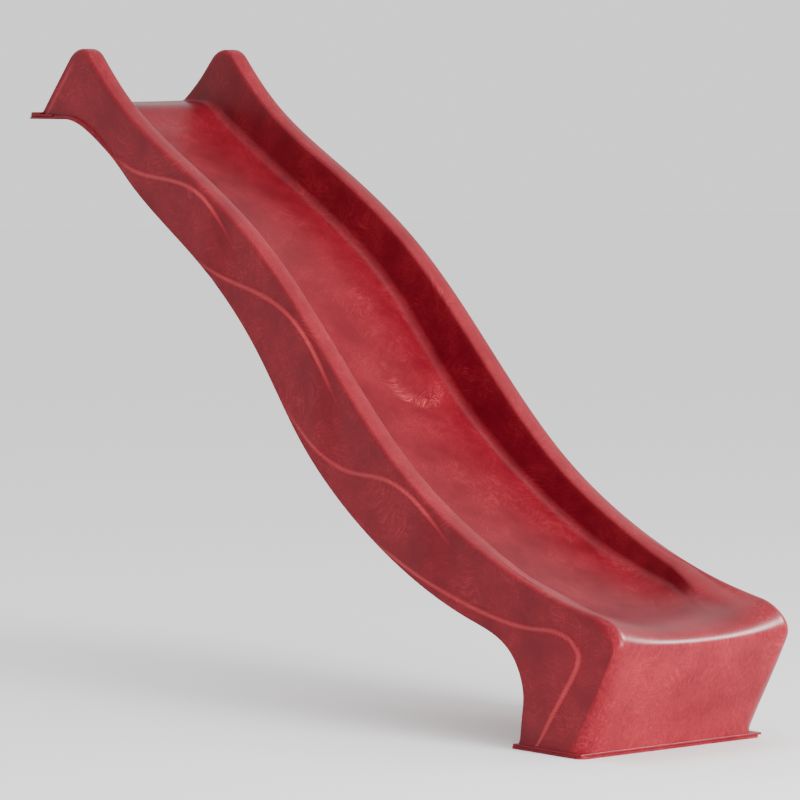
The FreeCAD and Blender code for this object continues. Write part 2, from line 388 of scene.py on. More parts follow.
CREASES = (
    Crease(((345, 1358), (450, 1320), (600, 1300), (725, 1265), (810, 1195), (890, 1100)),
           ((890, 700), (200, 700), (200, 1358)), 740, 885),
    Crease(((700, 1108), (785, 1072), (955, 1028), (1095, 970), (1195, 875), (1305, 715)),
           ((1305, 300), (500, 300), (500, 1108)), 1180, 1298),
    Crease(((1060, 762), (1180, 663), (1310, 608), (1465, 595), (1575, 550), (1735, 425)),
           ((1735, 100), (800, 100), (800, 762)), 1580, 1730),
    Crease(((1410, 448), (1600, 370), (1820, 308), (2000, 286), (2110, 278), (2155, 245), (2125, 170),
            (2005, 5)), ((2000, -60), (1200, -60), (1200, 448))),
)


@dataclass
class Stations:
    """The three design lines at each station along the slide, and what lies between them.

    Steady is how much the rim's own normal counts in the direction from rim to bed, which keeps that
    direction known where the two lines meet.
    """

    rim: np.ndarray
    bed: np.ndarray
    under: np.ndarray
    steady: float
    rim_end: Point

    def __post_init__(self) -> None:
        """Work out heights, directions and how far each station is past the end of the rim."""
        self.rise = np.linalg.norm(self.rim - self.bed, axis=1)
        self.drop = np.linalg.norm(self.under - self.rim, axis=1)
        self.to_under = (self.under - self.rim) / np.maximum(self.drop, TINY)[:, None]
        run = np.gradient(self.rim, axis=0)
        run /= np.maximum(np.linalg.norm(run, axis=1), TINY)[:, None]
        aim = self.bed - self.rim + np.stack([run[:, 1], -run[:, 0]], 1) * self.steady
        self.to_bed = aim / np.linalg.norm(aim, axis=1)[:, None]
        walked = walked_along(self.rim)
        self.past = walked - walked[np.argmin(np.linalg.norm(self.rim - np.array(self.rim_end), axis=1))]


class Loft:
    """Columns of points along the slide, side by side around its half section."""

    def __init__(self) -> None:
        """Start with no column."""
        self.columns: list[np.ndarray] = []
        self.weights: list[np.ndarray] = []

    def put(self, xz: np.ndarray, y: np.ndarray | float, rim_weight: float = 0.0) -> None:
        """Add one column, with how much it belongs to the rim."""
        self.columns.append(np.stack([xz[:, 0], np.broadcast_to(y, len(xz)), xz[:, 1]], 1))
        self.weights.append(np.full(len(xz), rim_weight))


@dataclass
class HalfSkin:
    """The points of one half of the skin, with their zones."""

    points: np.ndarray
    rim_weight: np.ndarray
    front_weight: np.ndarray
    wall: slice


@dataclass
class Moulding:
    """The upper skin: side walls, fins, rims, inner walls, bed, entry deck and front face.

    Sizes are in millimetres. A span is where a change along the slide starts and ends: from the end of the
    rim in exit_dish and the roll, foot, face and bare spans, and from the back of the lip in the others.
    shallow_rise is over the height of the rim above the bed. The shares named most keep a rounding within
    its wall, and seam_flat is the share of the seam's height below its rounded top. The dish at the exit and
    the falling entry deck are softer than the CAD's.
    """

    lines: Elevation = field(default_factory=Elevation)
    lip_half: float = 260.0
    foot_half: float = 282.0
    rim_width: float = 54.0
    rim_round: float = 13.0
    rim_crown: float = 1.5
    roll_corner: float = 12.0
    foot_corner: float = 30.0
    inner_round: float = 11.0
    inner_exit_round: float = 8.0
    inner_exit_spread: float = 60.0
    bed_fillet: float = 27.0
    bed_exit_spread: float = 110.0
    bed_sag: float = 3.0
    narrowest: float = 8.0
    corner_most: float = 0.4
    inner_most: float = 0.45
    fillet_most: float = 0.55
    draft: float = 7.0
    steady: float = 0.3
    entry_sharper: float = 16.0
    seam_proud: float = 9.0
    seam_high: float = 11.0
    seam_flat: float = 7 / 12
    underside_inset: float = 2.0
    underside_shares: tuple[float, ...] = (0.0, 0.5, 0.985)
    flare: float = 9.0
    flare_height: float = 32.0
    flare_front: Span = (2080, 2160)
    bead_proud: float = 11.0
    bead_height: float = 6.0
    bead_length: float = 96.0
    flange_soft: float = 2.6
    slab_tuck: float = 6.0
    slab_corner: float = 3.0
    scuff_inset: float = 22.0
    scuff_width: float = 5.0
    scuff_share: float = 0.6
    scuff_span: Span = (150, 190)
    exit_dish: Span = (-270, 25)
    exit_dish_gather: float = 1.4
    exit_dish_power: float = 2.3
    roll_span: Span = (-60, 90)
    foot_span: Span = (100, 380)
    face_span: Span = (20, 110)
    bare_span: Span = (-40, 60)
    entry_span: Span = (150, 330)
    exit_span: Span = (1720, 2170)
    seam_span: Span = (190, 420)
    shallow_rise: Span = (30, 95)
    stations: int = 470
    wall_steps: int = 46
    seam_steps: int = 6
    upright_rise: float = 1.0
    corner_facets: int = 8
    soft_facets: int = 3
    soft_angle: float = 60.0
    weld: float = 0.02
    smooth_angle: float = 50.0

    def __post_init__(self) -> None:
        """Work out the middle widths, which the taper then spreads."""
        self.half_width = (self.lip_half + self.foot_half) / 2
        self.half_chute = self.half_width - self.rim_width

    def marks(self) -> list[tuple[Point, Point, Point]]:
        """Places on the rim, the bed and the underside that belong to one station.

        Returns:
            Rows of three places, from the lip to the foot.
        """
        e = self.lines
        low = (e.lip_length, e.deck + e.lip_thick)
        entry_top = low[1] + e.entry_step
        return [
            (low, low, (e.lip_length, e.deck)),
            ((115, 1560), (e.lip_length + e.entry_round, entry_top), (80, e.deck)),
            ((205, e.fin_top), (125, entry_top), (140, e.deck)),
            ((310, 1560), (260, 1435), (220, 1435)),
            ((515, 1400), (455, 1310), (400, 1310)),
            ((705, 1300), (650, 1200), (605, 1180)),
            ((860, 1205), (790, 1105), (740, 1080)),
            ((1105, 1010), (1010, 930), (920, 925)),
            ((1295, 815), (1180, 740), (1080, 745)),
            ((1500, 630), (1410, 570), (1300, 525)),
            ((1795, 460), (1735, 400), (1640, 335)),
            ((2005, 380), (1960, 325), (1850, 260)),
            ((2110, 350), (2090, 305), (1925, 220)),
            ((2195, 335), (2180, 300), (1970, 145)),
            ((e.front_x, e.front_top_z), tuple(e.front()[e.bed_front_row]), (1953, 20)),
            ((e.front_foot_x, 0), (e.front_foot_x, 0), (1990, 0)),
        ]

    def sections(self) -> tuple[np.ndarray, np.ndarray, np.ndarray]:
        """Matching rows on the rim, the bed and the underside, one of each per station.

        Returns:
            Three arrays of (x, z) rows.
        """
        paths = self.lines.rim_path(), self.lines.bed_path(), self.lines.under_path()
        table = np.array([[path.length_at(mark) for path, mark in zip(paths, row)] for row in self.marks()])
        steps = np.maximum(np.diff(table[:, 0]), np.diff(table[:, 2]))
        spread = np.concatenate([[0], np.cumsum(steps)])
        at = np.linspace(0, spread[-1], self.stations)
        return tuple(path.walk(np.interp(at, spread, table[:, k])) for k, path in enumerate(paths))

    def side_wall(self, loft: Loft, s: Stations, corner: np.ndarray) -> slice:
        """Put the underside, the bead of the welded seam and the side wall.

        Args:
            loft: Takes the columns.
            s: The stations.
            corner: The rim's outer rounding at each station.

        Returns:
            The side wall's place among the columns.
        """
        inside = s.under - s.to_under * self.underside_inset
        for share in self.underside_shares:
            loft.put(inside, self.half_width * share)
        first = len(loft.columns)
        top = s.rim + s.to_under * corner[:, None]
        tall = np.linalg.norm(top - s.under, axis=1)
        bead_fade = 1 - smooth(s.under[:, 0], *self.seam_span)
        bead_top = np.minimum(self.seam_high, tall * 0.5)
        for lift in np.linspace(0, 1, self.seam_steps):
            share = (bead_top * lift / np.maximum(tall, TINY))[:, None]
            over = max(0.0, (lift - self.seam_flat) / (1 - self.seam_flat))
            proud = self.seam_proud * bead_fade * math.sqrt(max(0.0, 1 - over ** 2))
            loft.put(s.under + (top - s.under) * share, self.half_width + proud)
        for rise_share in np.linspace(0, 1, self.wall_steps)[1:]:
            above = bead_top + (tall - bead_top) * rise_share
            loft.put(s.under + (top - s.under) * (above / np.maximum(tall, TINY))[:, None], self.half_width)
        return slice(first, len(loft.columns))

    def rim_top(self, loft: Loft, s: Stations, corner: np.ndarray, wall_top: np.ndarray,
                spread: np.ndarray) -> None:
        """Put the rim's crowned top, up to where its inner rounding starts.

        Args:
            loft: Takes the columns.
            s: The stations.
            corner: The rim's outer rounding at each station.
            wall_top: How far the top of the inner wall is from the middle.
            spread: How wide the rim's inner rounding is.
        """
        flat_from, flat_to = self.half_width - corner, wall_top + spread
        crown = self.rim_crown * (1 - smooth(s.past, *self.roll_span))
        for share in (0.25, 0.5, 0.75):
            bulge = (crown * 4 * share * (1 - share))[:, None]
            loft.put(s.rim - s.to_bed * bulge, flat_from + (flat_to - flat_from) * share, 1.0)

    def chute(self, loft: Loft, s: Stations, wall_top: np.ndarray, spread: np.ndarray,
              exit_share: np.ndarray) -> None:
        """Put the inner rounding, the inner wall, the fillet and the bed.

        Args:
            loft: Takes the columns.
            s: The stations.
            wall_top: How far the top of the inner wall is from the middle.
            spread: How wide the rim's inner rounding is.
            exit_share: From 0 up the slide to 1 at the exit.
        """
        entry = 1.0 - smooth(s.rim[:, 0], *self.entry_span)
        inner = np.minimum(self.inner_round + self.inner_exit_round * exit_share, s.rise * self.inner_most)
        sharp = self.bed_fillet - self.entry_sharper * entry
        fillet = np.minimum(sharp, s.rise * self.fillet_most)
        fillet_y = sharp + self.bed_exit_spread * exit_share
        for angle in np.radians(np.linspace(90, 0, 8)):
            rubbing_and_highlight = INNER_WEAR + (1 - INNER_WEAR) * math.sin(angle)
            loft.put(s.rim + s.to_bed * (inner * (1 - math.sin(angle)))[:, None],
                     wall_top + spread * (1 - math.cos(angle)), rubbing_and_highlight)
        low_xz, high_xz = s.bed - s.to_bed * fillet[:, None], s.rim + s.to_bed * inner[:, None]
        low_y = np.minimum(self.half_chute - self.draft * (1 - 0.5 * entry), wall_top)
        for share in np.linspace(0, 1, 8)[1:-1]:
            loft.put(high_xz + (low_xz - high_xz) * share, wall_top + (low_y - wall_top) * share)
        for angle in np.radians(np.linspace(0, 90, 10)):
            loft.put(s.bed - s.to_bed * (fillet * (1 - math.sin(angle)))[:, None],
                     low_y - np.minimum(fillet_y, low_y - self.narrowest) * (1 - math.cos(angle)))
        floor_y = np.maximum(low_y - fillet_y, self.narrowest)
        deep = smooth(s.rise, *self.shallow_rise)
        for share in np.linspace(0, 1, 9)[1:]:
            sag = -self.bed_sag * (1 - (1 - share) ** 2) * deep
            loft.put(s.bed + np.stack([np.zeros(len(sag)), sag], 1), floor_y * (1 - share))

    def melt_exit(self, points: np.ndarray, s: Stations, corner: np.ndarray) -> None:
        """Melt the rims, walls and bed near the exit into one shallow dish, in place.

        Args:
            points: The columns from the rim's top to the middle of the bed.
            s: The stations.
            corner: The rim's outer rounding at each station.
        """
        across = np.linspace(1, 0, points.shape[1] + 1)[None, 1:, None]
        line = s.bed[:, None] + (s.rim - s.bed)[:, None] * across ** self.exit_dish_power
        y = (self.half_width - corner)[:, None, None] * across
        dish = np.concatenate([line[:, :, :1], y, line[:, :, 1:]], 2)
        melt = smooth(s.past, *self.exit_dish) ** self.exit_dish_gather
        points += (dish - points) * melt[:, None, None]

    def flare_foot(self, points: np.ndarray, s: Stations) -> None:
        """Sweep the foot of the walls and the front face out to the base, in place.

        Args:
            points: The columns from the bottom of the side wall to the middle of the bed.
            s: The stations.
        """
        flare = self.flare * np.clip(1 - points[..., 2] / self.flare_height, 0, 1) ** 2
        points[..., 1] += flare * np.clip(points[..., 1] / self.half_width, 0, 1) ** 4
        start, end = self.flare_front
        on_front = (s.past > self.roll_span[1])[:, None]
        points[..., 0] += flare * on_front * np.clip((points[..., 0] - start) / (end - start), 0, 1)

    def taper(self, points: np.ndarray) -> None:
        """Widen the slide from the lip to the foot, in place."""
        half_here = self.lip_half + (self.foot_half - self.lip_half) * points[..., 0] / self.lines.front_x
        points[..., 1] += points[..., 1] / self.half_width * (half_here - self.half_width)

    def half_section(self) -> HalfSkin:
        """One half of the skin, from the underside's middle over the rim to the bed's middle.

        Returns:
            Its points, still in millimetres from the lip, and its zones.
        """
        s = Stations(*self.sections(), self.steady, self.lines.rim[-1])
        corner = (self.rim_round + self.roll_corner * smooth(s.past, *self.roll_span)
                  + self.foot_corner * smooth(s.past, *self.foot_span))
        corner = np.minimum(corner, s.drop * self.corner_most)
        exit_share = smooth(s.rim[:, 0], *self.exit_span)
        spread = self.inner_round + self.inner_exit_spread * exit_share
        wall_top = np.minimum(self.half_chute + spread, self.half_width - corner - 2) - spread
        loft = Loft()
        wall = self.side_wall(loft, s, corner)
        for angle in np.radians(np.linspace(90, 0, 9)[1:]):
            loft.put(s.rim + s.to_under * (corner * (1 - math.cos(angle)))[:, None],
                     self.half_width - corner * (1 - math.sin(angle)), 1 - abs(math.sin(angle)) * 0.5)
        dish_from = len(loft.columns)
        self.rim_top(loft, s, corner, wall_top, spread)
        self.chute(loft, s, wall_top, spread, exit_share)
        points = np.stack(loft.columns, 1)
        self.melt_exit(points[:, dish_from:], s, corner)
        self.flare_foot(points[:, wall.start:], s)
        self.taper(points)
        face = np.broadcast_to(smooth(s.past, *self.face_span)[:, None], points.shape[:2]).copy()
        face[:, :wall.stop] = 0
        bare = smooth(s.past, *self.bare_span)[:, None]
        return HalfSkin(points, np.stack(loft.weights, 1) * (1 - bare), face, wall)

    def raise_panels(self, half: HalfSkin) -> np.ndarray:
        """Raise the leaf panels on the side wall, in place, and find where a pale highlight is painted along
        their creases.

        Args:
            half: The half skin, whose side wall is moved.

        Returns:
            How pale each point is painted: a painted highlight on each crease's bevel, and a pale scuff line
                along the fin's back.
        """
        side = half.points[:, half.wall]
        flat = side.reshape(-1, 3)[:, [0, 2]]
        proud, ridge = np.zeros(len(flat)), np.zeros(len(flat))
        # The crease shares are a painted highlight: pale on each crease's bevel, where it faces up into the
        # light.
        for crease in CREASES:
            height, edge = crease.relief(flat)
            proud, ridge = np.maximum(proud, height), np.maximum(ridge, edge)
        from_back = Crease.distance(flat, self.lines.fin())
        scuffed = np.exp(-((from_back - self.scuff_inset) / self.scuff_width) ** 2)
        on_fin = 1 - smooth(flat[:, 0], *self.scuff_span)
        ridge = np.maximum(ridge, self.scuff_share * scuffed * on_fin)
        clear = smooth(side[..., 2], self.flare_height / 2, 3 * self.flare_height)
        side[..., 1] += proud.reshape(clear.shape) * clear
        rubbing_and_highlight = np.zeros(half.points.shape[:2])
        rubbing_and_highlight[:, half.wall] = ridge.reshape(clear.shape)
        return rubbing_and_highlight

    def build(self) -> bpy.types.Object:
        """Model the skin.

        Returns:
            The closed skin with its flanges, in the slide's frame.
        """
        half = self.half_section()
        # The crease shares are a painted highlight on the crease bevels, with a scuff line along the fin's
        # back.
        rubbing_and_highlight = self.raise_panels(half)
        full = np.concatenate([half.points, half.points[:, ::-1][:, 1:-1] * np.array([1, -1, 1])], 1)
        zone_shares = {Zone.RIM: half.rim_weight, Zone.CREASE: rubbing_and_highlight, Zone.FRONT: half.front_weight}
        zone_shares = {zone: np.concatenate([w, w[:, ::-1][:, 1:-1]], 1) for zone, w in zone_shares.items()}
        full = np.clip(full * MM + np.array(in_frame(0, 0, 0)), CAD_BOX[0], CAD_BOX[1])
        return self.join_flanges(self.mesh("moulded_skin", full, zone_shares))

    def flange(self, name: str, x: Point, half: float, z: Point, corner: float) -> bpy.types.Object:
        """One flat layer of the welded rim, with round corners and softened edges.

        Args:
            name: Name of the piece.
            x: Its back and front, from the back of the lip.
            half: Half its width.
            z: Its underside and top, from the ground.
            corner: Radius of its upright corners.

        Returns:
            The piece, in the slide's frame.
        """
        bpy.ops.object.select_all(action="DESELECT")
        middle = in_frame((x[0] + x[1]) / 2, 0, (z[0] + z[1]) / 2)
        size = (mm(x[1] - x[0]), mm(2 * half), mm(z[1] - z[0]))
        bpy.ops.mesh.primitive_cube_add(size=1, location=middle, scale=size)
        piece = bpy.context.active_object
        piece.name = piece.data.name = name
        bpy.ops.object.transform_apply(location=True, rotation=True, scale=True)
        bpy.ops.object.mode_set(mode="EDIT")
        bpy.ops.mesh.select_all(action="DESELECT")
        shape = bmesh.from_edit_mesh(piece.data)
        for edge in shape.edges:
            a, b = (v.co for v in edge.verts)
            edge.select_set(abs(a.z - b.z) > mm(self.upright_rise))
        bpy.ops.mesh.bevel(offset=mm(corner), segments=self.corner_facets)
        bpy.ops.object.mode_set(mode="OBJECT")
        soften = piece.modifiers.new("soften", "BEVEL")
        soften.width = mm(self.flange_soft)
        soften.segments = self.soft_facets
        soften.angle_limit = math.radians(self.soft_angle)
        bpy.ops.object.modifier_apply(modifier=soften.name)
        return piece

    def join_flanges(self, skin: bpy.types.Object) -> bpy.types.Object:
        """Add the lip slab and the upper layers of the two welded rims to the skin.

        Args:
            skin: The lofted skin.

        Returns:
            The same object, with the flanges joined in.
        """
        e = self.lines
        bead = self.bead_height
        lip_half = self.lip_half + self.bead_proud
        foot_half = CAD_BOX[1][1] / MM
        deck = e.deck + bead
        base = (e.under[-1][0] - self.bead_proud, e.front_foot_x + self.bead_proud)
        slab = (0, e.lip_length + self.slab_tuck)
        made = [
            self.flange("lip_slab", slab, lip_half - 1, (deck, e.deck + e.lip_thick), self.slab_corner),
            self.flange("lip_bead", (0, self.bead_length), lip_half, (deck, deck + bead), self.bead_proud),
            self.flange("base_bead", base, foot_half, (bead, 2 * bead), 2 * self.bead_proud)]
        bpy.ops.object.select_all(action="DESELECT")
        for piece in made + [skin]:
            piece.select_set(True)
        bpy.context.view_layer.objects.active = skin
        bpy.ops.object.join()
        return skin

    def mesh(self, name: str, rows: np.ndarray, zone_shares: dict[Zone, np.ndarray]) -> bpy.types.Object:
        """Shape a grid primitive into the closed skin.

        Args:
            name: Name of the piece.
            rows: Points by station and by place around the section, in metres.
            zone_shares: One value per point for each zone.

        Returns:
            The piece.
        """
        n, m, _ = rows.shape
        bpy.ops.object.select_all(action="DESELECT")
        bpy.ops.mesh.primitive_grid_add(x_subdivisions=m, y_subdivisions=n - 1, size=1)
        piece = bpy.context.active_object
        piece.name = piece.data.name = name
        order = [(r, c % m) for r in range(n) for c in range(m + 1)]
        coords = np.array([rows[r, c] for r, c in order]).astype(np.float32)
        piece.data.vertices.foreach_set("co", coords.ravel())
        for zone, amount in zone_shares.items():
            layer = piece.data.attributes.new(zone.value, "FLOAT", "POINT")
            layer.data.foreach_set("value", np.array([amount[r, c] for r, c in order], np.float32))
        bpy.ops.object.mode_set(mode="EDIT")
        bpy.ops.mesh.select_all(action="SELECT")
        bpy.ops.mesh.remove_doubles(threshold=mm(self.weld))
        bpy.ops.mesh.select_all(action="DESELECT")
        bpy.ops.mesh.select_non_manifold()
        bpy.ops.mesh.edge_face_add()
        bpy.ops.mesh.select_all(action="SELECT")
        bpy.ops.mesh.normals_make_consistent(inside=False)
        bpy.ops.object.mode_set(mode="OBJECT")
        bpy.ops.object.shade_smooth_by_angle(angle=math.radians(self.smooth_angle))
        return piece


def linear(hex_colour: str) -> tuple[float, float, float, float]:
    """An sRGB hex colour as linear RGBA."""
    values = [int(hex_colour[k:k + 2], 16) / 255 for k in (1, 3, 5)]
    return tuple(v / 12.92 if v <= 0.04045 else ((v + 0.055) / 1.055) ** 2.4 for v in values) + (1.0,)


def add_node(tree: bpy.types.NodeTree, kind: str, links: dict | None = None,
             **settings: object) -> bpy.types.Node:
    """Add a shader node.

    Args:
        tree: The material's node tree.
        kind: The node's type name.
        links: Input name or number to a value or to an output socket.
        settings: Attributes set on the node.

    Returns:
        The new node.
    """
    node = tree.nodes.new(kind)
    for key, value in settings.items():
        setattr(node, key, value)
    for key, value in (links or {}).items():
        if isinstance(value, bpy.types.NodeSocket):
            tree.links.new(value, node.inputs[key])
        else:
            node.inputs[key].default_value = value
    return node


def start_material(name: str) -> tuple[bpy.types.Material, bpy.types.NodeTree, bpy.types.NodeSocket]:
    """Start a material with an empty tree.

    Args:
        name: Name of the material.

    Returns:
        The material, its tree and a socket with each point's place on its object, in metres.
    """
    material = bpy.data.materials.new(name)
    material.use_nodes = True
    tree = material.node_tree
    tree.nodes.clear()
    return material, tree, add_node(tree, "ShaderNodeTexCoord").outputs["Object"]


def ramp(tree: bpy.types.NodeTree, value: bpy.types.NodeSocket, start: Span, end: Span = (0.0, 1.0),
         interpolation: str = "LINEAR") -> bpy.types.NodeSocket:
    """Map one range of a value to another.

    Args:
        tree: The material's node tree.
        value: The value to map.
        start: Its range.
        end: What the range becomes.
        interpolation: How the steps between are shaped.

    Returns:
        The mapped value.
    """
    links = {"Value": value, "From Min": start[0], "From Max": start[1], "To Min": end[0], "To Max": end[1]}
    return add_node(tree, "ShaderNodeMapRange", links, interpolation_type=interpolation).outputs[0]


def reckon(tree: bpy.types.NodeTree, operation: str, *values: float | bpy.types.NodeSocket,
           use_clamp: bool = False) -> bpy.types.NodeSocket:
    """Work out one sum.

    Args:
        tree: The material's node tree.
        operation: Name of the math node's operation.
        values: Its inputs in order.
        use_clamp: Whether the result is kept between 0 and 1.

    Returns:
        The result.
    """
    links = dict(enumerate(values))
    return add_node(tree, "ShaderNodeMath", links, operation=operation, use_clamp=use_clamp).outputs[0]


def blend(tree: bpy.types.NodeTree, share: bpy.types.NodeSocket, first: bpy.types.NodeSocket | tuple,
          second: bpy.types.NodeSocket | tuple) -> bpy.types.NodeSocket:
    """Mix two colours.

    Args:
        tree: The material's node tree.
        share: How much of the second colour there is.
        first: The first colour.
        second: The second colour.

    Returns:
        The mixed colour.
    """
    links = {"Factor": share, 6: first, 7: second}
    return add_node(tree, "ShaderNodeMix", links, data_type="RGBA").outputs[2]


def per_metre(sizes: Place) -> Place:
    """Texture scales for a pattern whose features have these sizes in millimetres."""
    return tuple(1 / mm(size) for size in sizes)


@dataclass(frozen=True)
class MouldedHDPE:
    """Moulded red polyethylene: even colour through the wall, waxy satin skin, pale hair-fine scuffs.

    Patterns are sized in millimetres, and the landing is a place in millimetres from the back of the lip.
    The crease highlight share paints a pale highlight along the bevels of the side wall's creases.
    """

    base: str = "#740F1E"
    deep: str = "#650C19"
    pale: str = "#A8383F"
    roughness: float = 0.36
    scuffed_roughness: float = 0.56
    specular: float = 0.14
    ior: float = 1.51
    cloud: float = 111.1
    sway: float = 312.5
    sway_share: float = 0.55
    hair: Place = (71.4, 6.67, 3.03)
    hair_turn: Place = (0.5, 0.62, 0.35)
    hair_depth: float = 0.6
    streak: Place = (6.0, 3.5, 70.0)
    streak_turn: Place = (0.12, 0.3, 0.0)
    scuff_share: float = 0.8
    rim_share: float = 0.16
    # Painted highlight: how pale the crease bevels are painted.
    crease_highlight_share: float = 0.75
    landing: Place = (1121.5, 100.0, 798.0)
    landing_share: float = 2.2

    def hairs(self, tree: bpy.types.NodeTree, place: bpy.types.NodeSocket) -> bpy.types.NodeSocket:
        """Fine hairs that run down the slide and sway.

        Args:
            tree: The material's node tree.
            place: Each point's place.

        Returns:
            A value that is higher in a hair.
        """
        # Real scuffs are hair-thin. These are drawn a few millimetres wide, so that they show from afar.
        sway = add_node(tree, "ShaderNodeTexNoise", {"Vector": place, "Scale": 1 / mm(self.sway),
                                                     "Detail": 2.0})
        bend = add_node(tree, "ShaderNodeVectorMath", {0: sway.outputs["Color"], 1: (self.sway_share,) * 3},
                        operation="MULTIPLY")
        moved = add_node(tree, "ShaderNodeVectorMath", {0: place, 1: bend.outputs[0]}, operation="ADD")
        along = add_node(tree, "ShaderNodeMapping", {"Vector": moved.outputs[0], "Rotation": self.hair_turn,
                                                     "Scale": per_metre(self.hair)})
        hair = add_node(tree, "ShaderNodeTexNoise", {"Vector": along.outputs[0], "Scale": 1.0, "Detail": 4.0,
                                                     "Roughness": 0.7})
        return hair.outputs["Fac"]

    def front_streaks(self, tree: bpy.types.NodeTree, place: bpy.types.NodeSocket) -> bpy.types.NodeSocket:
        """Upright rubbing marks on the front face, where shoes pass.

        Args:
            tree: The material's node tree.
            place: Each point's place.

        Returns:
            A value that is higher in a streak, and 0 away from the front face.
        """
        # Real streaks are about 1 mm wide. These are drawn 3 to 6 mm wide.
        upright = add_node(tree, "ShaderNodeMapping", {"Vector": place, "Rotation": self.streak_turn,
                                                       "Scale": per_metre(self.streak)})
        streak = add_node(tree, "ShaderNodeTexNoise", {"Vector": upright.outputs[0], "Scale": 1.0,
                                                       "Detail": 4.0, "Roughness": 0.65})
        streaks = ramp(tree, streak.outputs["Fac"], (0.4, 0.75), (0.0, 0.3))
        return reckon(tree, "MULTIPLY", streaks, self.zone(tree, Zone.FRONT))

    def crescent(self, tree: bpy.types.NodeTree, place: bpy.types.NodeSocket) -> bpy.types.NodeSocket:
        """The rubbed crescent on the bed, around the low side of the landing.

        Args:
            tree: The material's node tree.
            place: Each point's place.

        Returns:
            A value that is 1 in the middle of the crescent and 0 away from it.
        """
        landing = in_frame(*self.landing)
        away = add_node(tree, "ShaderNodeVectorMath", {0: place, 1: landing}, operation="DISTANCE")
        away = away.outputs["Value"]
        outer = ramp(tree, away, (mm(96), mm(72)), interpolation="SMOOTHSTEP")
        inner = ramp(tree, away, (mm(30), mm(78)), interpolation="SMOOTHSTEP")
        height = add_node(tree, "ShaderNodeSeparateXYZ", {0: place}).outputs["Z"]
        low = (landing[2] + mm(25), landing[2] - mm(30))
        below = ramp(tree, height, low, interpolation="SMOOTHSTEP")
        return reckon(tree, "MULTIPLY", reckon(tree, "MULTIPLY", outer, inner), below)

    @staticmethod
    def zone(tree: bpy.types.NodeTree, zone: Zone) -> bpy.types.NodeSocket:
        """How much each point belongs to a zone of the moulding."""
        return add_node(tree, "ShaderNodeAttribute", attribute_name=zone.value).outputs["Fac"]

    def build(self) -> bpy.types.Material:
        """Make the material.

        Returns:
            The material.
        """
        # Red polyethylene, coloured through and formed hot against a mould, in two skins that are welded
        # at their rims. It is waxy and satin, and goes pale where clothes and shoes rub it. A pale highlight
        # is painted along the bevels of the side wall's creases, where they face the light.
        material, tree, place = start_material("moulded_red_hdpe")
        cloud = add_node(tree, "ShaderNodeTexNoise", {"Vector": place, "Scale": 1 / mm(self.cloud),
                                                      "Detail": 5.0, "Roughness": 0.6})
        clouds = ramp(tree, cloud.outputs["Fac"], (0.35, 0.68))
        hair = self.hairs(tree, place)
        hairs = ramp(tree, hair, (0.47, 0.78))
        mottle = reckon(tree, "MULTIPLY", hairs, clouds)
        scuff = reckon(tree, "MULTIPLY_ADD", mottle, self.scuff_share, self.front_streaks(tree, place))
        rim = reckon(tree, "MULTIPLY", self.zone(tree, Zone.RIM), self.rim_share)
        # The crease zone adds a painted highlight along the bevels of the raised panels, on top of the rim
        # wear.
        rubbing_and_highlight = reckon(tree, "MULTIPLY_ADD", self.zone(tree, Zone.CREASE), self.crease_highlight_share, rim)
        rubbed = reckon(tree, "MULTIPLY", self.crescent(tree, place), hairs)
        marks_and_highlight = reckon(tree, "MULTIPLY_ADD", rubbed, self.landing_share, rubbing_and_highlight)
        light = reckon(tree, "ADD", scuff, marks_and_highlight, use_clamp=True)
        body = blend(tree, clouds, linear(self.deep), linear(self.base))
        colour = blend(tree, light, body, linear(self.pale))
        rough = ramp(tree, mottle, (0.0, 1.0), (self.roughness, self.scuffed_roughness))
        bump = add_node(tree, "ShaderNodeBump", {"Height": hair, "Strength": 0.12,
                                                 "Distance": mm(self.hair_depth)})
        shader = add_node(tree, "ShaderNodeBsdfPrincipled", {"Base Color": colour, "Roughness": rough,
                                                             "Normal": bump.outputs[0], "IOR": self.ior,
                                                             "Specular IOR Level": self.specular})
        add_node(tree, "ShaderNodeOutputMaterial", {"Surface": shader.outputs[0]})
        return material


@dataclass(frozen=True)
class ZincSteel:
    """Zinc-plated cold-headed steel: a pale grey metal with a fine cloudy passivation."""

    bright: str = "#C6C8CB"
    dull: str = "#989CA2"
    cloud: float = 3.0
    roughness: Span = (0.24, 0.46)

    def build(self) -> bpy.types.Material:
        """Make the material.

        Returns:
            The material.
        """
        # Cold-headed steel, barrel-plated with zinc and passivated, which leaves a faint cloudiness.
        material, tree, place = start_material("zinc_plated_steel")
        cloud = add_node(tree, "ShaderNodeTexNoise", {"Vector": place, "Scale": 1 / mm(self.cloud),
                                                      "Detail": 3.0}).outputs["Fac"]
        colour = blend(tree, cloud, linear(self.dull), linear(self.bright))
        rough = ramp(tree, cloud, (0.0, 1.0), self.roughness)
        shader = add_node(tree, "ShaderNodeBsdfPrincipled", {"Base Color": colour, "Metallic": 1.0,
                                                             "Roughness": rough})
        add_node(tree, "ShaderNodeOutputMaterial", {"Surface": shader.outputs[0]})
        return material


